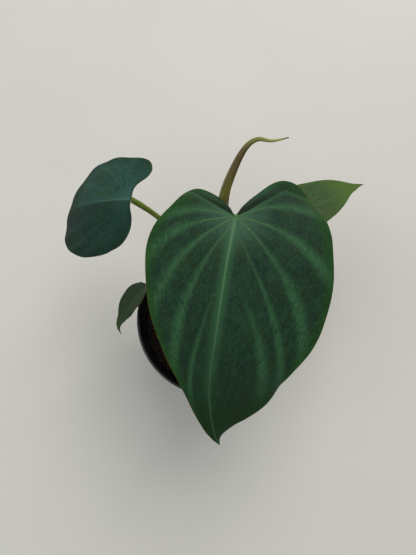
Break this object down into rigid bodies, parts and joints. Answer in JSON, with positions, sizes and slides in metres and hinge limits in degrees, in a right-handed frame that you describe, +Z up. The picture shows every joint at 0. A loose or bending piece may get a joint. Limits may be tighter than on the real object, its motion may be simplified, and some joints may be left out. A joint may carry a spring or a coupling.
{
  "type": "potted philodendron verrucosum",
  "caption": "Young velvet-leaved philodendron in a round nursery pot: heart-shaped veined leaves on thin petioles, a rolled new leaf, a short stem, bark soil and a tapered pot with a lip.",
  "frame": {"origin": "middle of the pot's flat base, on the surface it stands on", "axes": "+Z up out of the pot, +X to the right and +Y to the back as the big leaf's tip points to -Y"},
  "size_m": [0.2175, 0.1881, 0.1917],
  "materials": {
    "pot": "black moulded nursery-pot plastic, satin, faint dust",
    "soil": "dark moist potting mix with red-brown bark chips",
    "stem": "green young stem with ringed nodes and tan aerial roots",
    "petiole": "olive green, set with short soft bristles",
    "blade": "dark velvety green with paler veins above, maroon between green veins below",
    "young_blade": "lighter yellow-green velvety young leaf",
    "furled_leaf": "bronze-green rolled new leaf with a reddish tip",
    "sheath": "papery tan-green leaf sheath"
  },
  "bodies": {
    "root": {"pot": "pot", "soil": "soil", "stem": "stem", "leaf_front_petiole": "petiole", "leaf_left_petiole": "petiole", "leaf_right_petiole": "petiole", "leaf_low_petiole": "petiole", "leaf_front_blade": "blade", "leaf_left_blade": "blade", "leaf_right_blade": "young_blade", "leaf_low_blade": "blade", "furled_leaf": "furled_leaf", "cataphyll": "sheath"}
  },
  "joints": []
}
